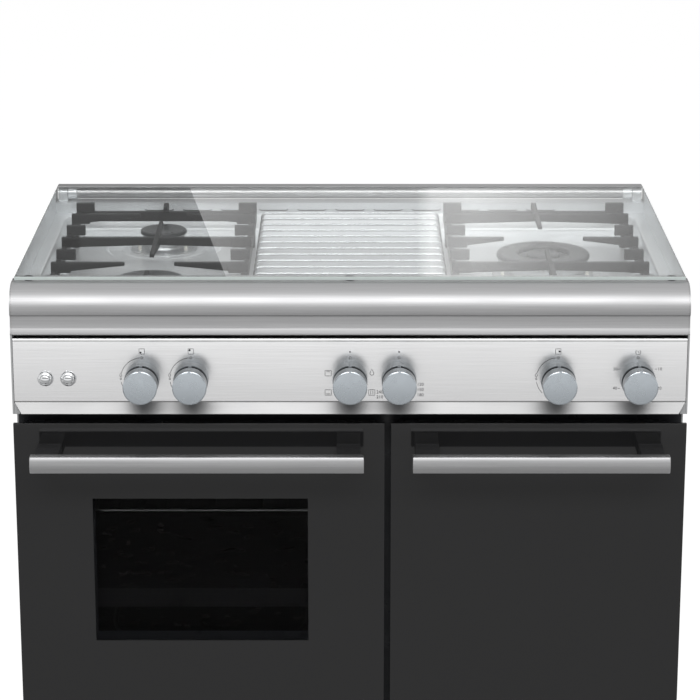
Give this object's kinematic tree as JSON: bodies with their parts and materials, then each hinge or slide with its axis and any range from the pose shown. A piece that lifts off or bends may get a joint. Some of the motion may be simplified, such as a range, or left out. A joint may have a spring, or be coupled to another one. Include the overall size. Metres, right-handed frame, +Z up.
{
  "type": "freestanding cooker",
  "caption": "Freestanding gas cooker with hinged glass lid, cast grates, wire rack, oven, storage compartment and drawer.",
  "frame": {"origin": "on the floor under the middle of the whole cooker's box", "axes": "+X to the right seen from the front, the front faces -Y, +Z up"},
  "size_m": [0.9, 0.666, 0.885],
  "materials": {
    "side_paint": "satin",
    "zinc_sheet": "matt",
    "black_enamel": "gloss",
    "rail_steel": "brushed",
    "panel_steel": "fine brushed",
    "tray_steel": "satin",
    "handle_steel": "brushed",
    "lid_glass": "clear",
    "door_glass": "gloss",
    "inner_glass": "clear",
    "cast_grate": "matt enamel",
    "burner_enamel": "matt enamel",
    "burner_aluminium": "cast",
    "knob_satin": "satin",
    "chrome": "polished",
    "wire_chrome": "polished",
    "rubber_black": "matt",
    "foot_plastic": "matt",
    "switch_plastic": "matt",
    "brass": "cast",
    "gas_tube": "drawn",
    "mineral_wool": "soft",
    "lamp_glass": "clear",
    "probe_ceramic": "gloss"
  },
  "bodies": {
    "cabinet": {"side_panels": "side_paint", "back_panel": "zinc_sheet", "base_pan": "zinc_sheet", "plinth": "black_enamel", "inner_walls": "zinc_sheet", "face_frame": "black_enamel", "heat_shield": "zinc_sheet", "oven_cavity": "black_enamel", "oven_insulation": "mineral_wool", "rubber_seals": "rubber_black", "rack_guides": "wire_chrome", "oven_rack": "wire_chrome", "baking_tray": "black_enamel", "oven_heaters": "burner_enamel", "oven_lamp": "lamp_glass", "hob_tray": "tray_steel", "front_rail": "rail_steel", "rear_trim": "tray_steel", "lid_brackets": "chrome", "grate_left": "cast_grate", "grate_right": "cast_grate", "wire_rack": "wire_chrome", "burner_cups": "burner_aluminium", "burner_heads": "burner_aluminium", "burner_caps": "burner_enamel", "burner_probes": "probe_ceramic", "gas_pipes": "gas_tube", "gas_taps": "brass", "control_panel": "panel_steel", "panel_bezels": "knob_satin", "switch_bodies": "switch_plastic", "door_hinge_pins": "zinc_sheet", "drawer_runners": "zinc_sheet"},
    "lid": {"lid_glass": "lid_glass", "lid_strip": "rail_steel", "lid_tube": "chrome"},
    "foot_front_left": {"foot_front_left": "foot_plastic"},
    "foot_front_right": {"foot_front_right": "foot_plastic"},
    "foot_rear_left": {"foot_rear_left": "foot_plastic"},
    "foot_rear_right": {"foot_rear_right": "foot_plastic"},
    "knob_1": {"knob_1": "knob_satin"},
    "knob_2": {"knob_2": "knob_satin"},
    "knob_3": {"knob_3": "knob_satin"},
    "knob_4": {"knob_4": "knob_satin"},
    "knob_5": {"knob_5": "knob_satin"},
    "knob_6": {"knob_6": "knob_satin"},
    "tap_spindle_1": {"tap_spindle_1": "brass"},
    "tap_spindle_2": {"tap_spindle_2": "brass"},
    "tap_spindle_5": {"tap_spindle_5": "brass"},
    "button_lamp": {"button_lamp": "chrome"},
    "button_spark": {"button_spark": "chrome"},
    "oven_door": {"oven_door_glass": "door_glass", "oven_door_frame": "black_enamel", "oven_door_inner_glass": "inner_glass", "oven_handle": "handle_steel"},
    "store_door": {"store_door_glass": "door_glass", "store_door_panel": "black_enamel", "store_handle": "handle_steel"},
    "drawer": {"drawer_front": "black_enamel", "drawer_box": "zinc_sheet"}
  },
  "joints": [
    {"name": "lid_hinge", "type": "hinge", "parent": "cabinet", "child": "lid", "pos_m": [0, 0.318, 0.8695], "axis": [-1, 0, 0], "range_deg": [0, 90]},
    {"name": "oven_door_hinge", "type": "hinge", "parent": "cabinet", "child": "oven_door", "pos_m": [-0.2018, -0.255, 0.2683], "axis": [1, 0, 0], "range_deg": [0, 90], "stiffness_Nm_per_rad": 5, "springref_deg": -34.38},
    {"name": "store_door_hinge", "type": "hinge", "parent": "cabinet", "child": "store_door", "pos_m": [0.438, -0.255, 0.4], "axis": [0, 0, 1], "range_deg": [0, 100]},
    {"name": "drawer_slide", "type": "slide", "parent": "cabinet", "child": "drawer", "axis": [0, -1, 0], "range_m": [0, 0.34]},
    {"name": "foot_front_left_screw", "type": "slide", "parent": "cabinet", "child": "foot_front_left", "axis": [0, 0, -1], "range_m": [0, 0.02]},
    {"name": "foot_front_right_screw", "type": "slide", "parent": "cabinet", "child": "foot_front_right", "axis": [0, 0, -1], "range_m": [0, 0.02]},
    {"name": "foot_rear_left_screw", "type": "slide", "parent": "cabinet", "child": "foot_rear_left", "axis": [0, 0, -1], "range_m": [0, 0.02]},
    {"name": "foot_rear_right_screw", "type": "slide", "parent": "cabinet", "child": "foot_rear_right", "axis": [0, 0, -1], "range_m": [0, 0.02]},
    {"name": "tap_push_1", "type": "slide", "parent": "cabinet", "child": "tap_spindle_1", "axis": [0, 1, 0], "range_m": [0, 0.0025], "stiffness_N_per_m": 900, "springref_m": -0.002},
    {"name": "tap_push_2", "type": "slide", "parent": "cabinet", "child": "tap_spindle_2", "axis": [0, 1, 0], "range_m": [0, 0.0025], "stiffness_N_per_m": 900, "springref_m": -0.002},
    {"name": "tap_push_5", "type": "slide", "parent": "cabinet", "child": "tap_spindle_5", "axis": [0, 1, 0], "range_m": [0, 0.0025], "stiffness_N_per_m": 900, "springref_m": -0.002},
    {"name": "knob_1_turn", "type": "hinge", "parent": "tap_spindle_1", "child": "knob_1", "pos_m": [-0.276, -0.29, 0.7533], "axis": [0, -1, 0], "range_deg": [0, 200]},
    {"name": "knob_2_turn", "type": "hinge", "parent": "tap_spindle_2", "child": "knob_2", "pos_m": [-0.211, -0.29, 0.7533], "axis": [0, -1, 0], "range_deg": [0, 200]},
    {"name": "knob_3_turn", "type": "hinge", "parent": "cabinet", "child": "knob_3", "pos_m": [0, -0.29, 0.7533], "axis": [0, -1, 0], "range_deg": [-270, 0]},
    {"name": "knob_4_turn", "type": "hinge", "parent": "cabinet", "child": "knob_4", "pos_m": [0.065, -0.29, 0.7533], "axis": [0, -1, 0], "range_deg": [-290, 0]},
    {"name": "knob_5_turn", "type": "hinge", "parent": "tap_spindle_5", "child": "knob_5", "pos_m": [0.276, -0.29, 0.7533], "axis": [0, -1, 0], "range_deg": [0, 200]},
    {"name": "knob_6_turn", "type": "hinge", "parent": "cabinet", "child": "knob_6", "pos_m": [0.382, -0.29, 0.7533], "axis": [0, -1, 0], "range_deg": [-300, 0]},
    {"name": "button_lamp_push", "type": "slide", "parent": "cabinet", "child": "button_lamp", "axis": [0, 1, 0], "range_m": [0, 0.003], "stiffness_N_per_m": 500, "springref_m": -0.002},
    {"name": "button_spark_push", "type": "slide", "parent": "cabinet", "child": "button_spark", "axis": [0, 1, 0], "range_m": [0, 0.003], "stiffness_N_per_m": 500, "springref_m": -0.002}
  ]
}
